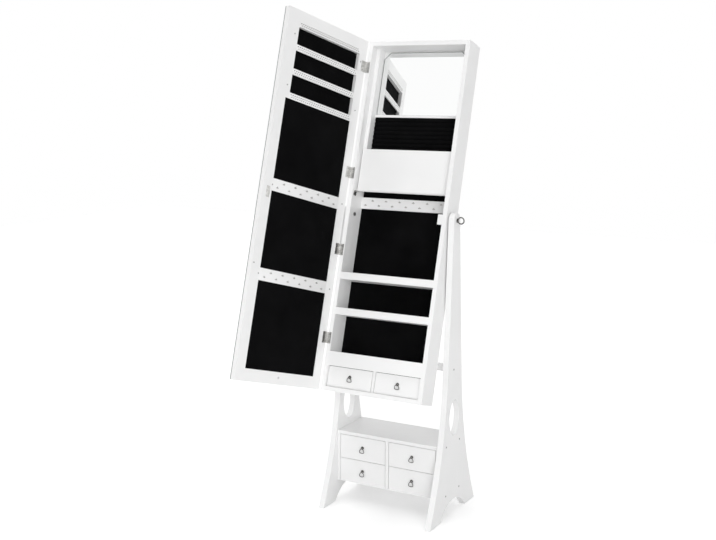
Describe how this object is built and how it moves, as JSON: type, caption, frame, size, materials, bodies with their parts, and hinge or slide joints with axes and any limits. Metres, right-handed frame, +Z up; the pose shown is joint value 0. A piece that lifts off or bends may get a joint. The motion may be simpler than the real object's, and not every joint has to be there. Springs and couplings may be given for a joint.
{
  "type": "jewelry mirror cabinet",
  "caption": "Free-standing jewelry cabinet with a mirrored door, hung between A-shaped legs over a small chest of drawers; lined inside with ring pad, shelves, hooks and a folding tray.",
  "frame": {"origin": "on the floor, under the tilt axis, midway between the two legs", "axes": "+Z up, +X to the right of someone facing the cabinet, +Y to the back; the cabinet leans back towards +Y"},
  "size_m": [0.5458, 0.7764, 1.6921],
  "materials": {
    "white_lacquer": "white satin lacquer on fibreboard",
    "black_velvet": "black velvet lining",
    "ring_foam": "black velvet over soft foam rolls",
    "mirror_glass": "silvered float glass",
    "nickel_steel": "nickel-plated steel"
  },
  "bodies": {
    "stand": {"side_leg_left": "white_lacquer", "side_leg_right": "white_lacquer", "stretcher_rail": "white_lacquer", "chest_top": "white_lacquer", "chest_sides": "white_lacquer", "chest_bottom": "white_lacquer", "chest_back": "white_lacquer", "chest_divider": "white_lacquer", "chest_shelves": "white_lacquer"},
    "cabinet": {"cabinet_side_left": "white_lacquer", "cabinet_side_right": "white_lacquer", "cabinet_top": "white_lacquer", "cabinet_bottom": "white_lacquer", "cabinet_back": "white_lacquer", "back_lining": "black_velvet", "shelf_upper": "white_lacquer", "shelf_lower": "white_lacquer", "compartment_floor": "white_lacquer", "drawer_ceiling": "white_lacquer", "drawer_divider": "white_lacquer", "cheek_left": "white_lacquer", "cheek_right": "white_lacquer", "insert_panel": "white_lacquer", "inner_mirror": "mirror_glass", "ring_pad": "ring_foam", "ledge": "white_lacquer", "hook_rail": "white_lacquer", "hook_rail_hooks": "nickel_steel", "magnetic_catch": "white_lacquer", "tray_stops": "nickel_steel", "hinge_leaves_cabinet": "nickel_steel"},
    "door": {"door_frame": "white_lacquer", "door_back_board": "white_lacquer", "door_mirror": "mirror_glass", "door_bars": "white_lacquer", "door_hooks": "nickel_steel", "door_linings": "black_velvet", "hinge_leaves_door": "nickel_steel", "strike_plate": "nickel_steel"},
    "tray": {"tray_board": "white_lacquer"},
    "bolt_left": {"eye_bolt_left": "nickel_steel"},
    "bolt_right": {"eye_bolt_right": "nickel_steel"},
    "chest_drawer_lower_left": {"chest_drawer_lower_left_front": "white_lacquer", "chest_drawer_lower_left_box": "white_lacquer"},
    "chest_drawer_lower_left_pull": {"chest_drawer_lower_left_ring": "nickel_steel"},
    "chest_drawer_lower_right": {"chest_drawer_lower_right_front": "white_lacquer", "chest_drawer_lower_right_box": "white_lacquer"},
    "chest_drawer_lower_right_pull": {"chest_drawer_lower_right_ring": "nickel_steel"},
    "chest_drawer_upper_left": {"chest_drawer_upper_left_front": "white_lacquer", "chest_drawer_upper_left_box": "white_lacquer"},
    "chest_drawer_upper_left_pull": {"chest_drawer_upper_left_ring": "nickel_steel"},
    "chest_drawer_upper_right": {"chest_drawer_upper_right_front": "white_lacquer", "chest_drawer_upper_right_box": "white_lacquer"},
    "chest_drawer_upper_right_pull": {"chest_drawer_upper_right_ring": "nickel_steel"},
    "small_drawer_left": {"small_drawer_left_front": "white_lacquer", "small_drawer_left_box": "white_lacquer"},
    "small_drawer_left_pull": {"small_drawer_left_ring": "nickel_steel"},
    "small_drawer_right": {"small_drawer_right_front": "white_lacquer", "small_drawer_right_box": "white_lacquer"},
    "small_drawer_right_pull": {"small_drawer_right_ring": "nickel_steel"}
  },
  "joints": [
    {"name": "cabinet_tilt", "type": "hinge", "parent": "stand", "child": "cabinet", "pos_m": [0, 0, 1.005], "axis": [-1, 0, 0], "range_deg": [-8, 10]},
    {"name": "door_hinge", "type": "hinge", "parent": "cabinet", "child": "door", "pos_m": [-0.191, -0.03212, 1.01452], "axis": [0, -0.284, -0.9588], "range_deg": [-104.5, 0]},
    {"name": "tray_fold", "type": "hinge", "parent": "cabinet", "child": "tray", "pos_m": [0, 0.01715, 1.08753], "axis": [1, 0, 0], "range_deg": [0, 90]},
    {"name": "bolt_left_turn", "type": "hinge", "parent": "stand", "child": "bolt_left", "pos_m": [-0.213, 0, 1.005], "axis": [-1, 0, 0], "continuous": true},
    {"name": "bolt_right_turn", "type": "hinge", "parent": "stand", "child": "bolt_right", "pos_m": [0.213, 0, 1.005], "axis": [1, 0, 0], "continuous": true},
    {"name": "chest_drawer_lower_left_slide", "type": "slide", "parent": "stand", "child": "chest_drawer_lower_left", "axis": [0, -1, 0], "range_m": [0, 0.12]},
    {"name": "chest_drawer_lower_left_pull_swing", "type": "hinge", "parent": "chest_drawer_lower_left", "child": "chest_drawer_lower_left_pull", "pos_m": [-0.095, -0.0865, 0.11925], "axis": [-1, 0, 0], "range_deg": [-12, 90]},
    {"name": "chest_drawer_lower_right_slide", "type": "slide", "parent": "stand", "child": "chest_drawer_lower_right", "axis": [0, -1, 0], "range_m": [0, 0.12]},
    {"name": "chest_drawer_lower_right_pull_swing", "type": "hinge", "parent": "chest_drawer_lower_right", "child": "chest_drawer_lower_right_pull", "pos_m": [0.095, -0.0865, 0.11925], "axis": [-1, 0, 0], "range_deg": [-12, 90]},
    {"name": "chest_drawer_upper_left_slide", "type": "slide", "parent": "stand", "child": "chest_drawer_upper_left", "axis": [0, -1, 0], "range_m": [0, 0.12]},
    {"name": "chest_drawer_upper_left_pull_swing", "type": "hinge", "parent": "chest_drawer_upper_left", "child": "chest_drawer_upper_left_pull", "pos_m": [-0.095, -0.0865, 0.20425], "axis": [-1, 0, 0], "range_deg": [-12, 90]},
    {"name": "chest_drawer_upper_right_slide", "type": "slide", "parent": "stand", "child": "chest_drawer_upper_right", "axis": [0, -1, 0], "range_m": [0, 0.12]},
    {"name": "chest_drawer_upper_right_pull_swing", "type": "hinge", "parent": "chest_drawer_upper_right", "child": "chest_drawer_upper_right_pull", "pos_m": [0.095, -0.0865, 0.20425], "axis": [-1, 0, 0], "range_deg": [-12, 90]},
    {"name": "small_drawer_left_slide", "type": "slide", "parent": "cabinet", "child": "small_drawer_left", "axis": [0, -0.9588, 0.284], "range_m": [0, 0.036]},
    {"name": "small_drawer_left_pull_swing", "type": "hinge", "parent": "small_drawer_left", "child": "small_drawer_left_pull", "pos_m": [-0.08925, -0.18368, 0.48174], "axis": [-1, 0, 0], "range_deg": [0, 90]},
    {"name": "small_drawer_right_slide", "type": "slide", "parent": "cabinet", "child": "small_drawer_right", "axis": [0, -0.9588, 0.284], "range_m": [0, 0.036]},
    {"name": "small_drawer_right_pull_swing", "type": "hinge", "parent": "small_drawer_right", "child": "small_drawer_right_pull", "pos_m": [0.08925, -0.18368, 0.48174], "axis": [-1, 0, 0], "range_deg": [0, 90]}
  ]
}
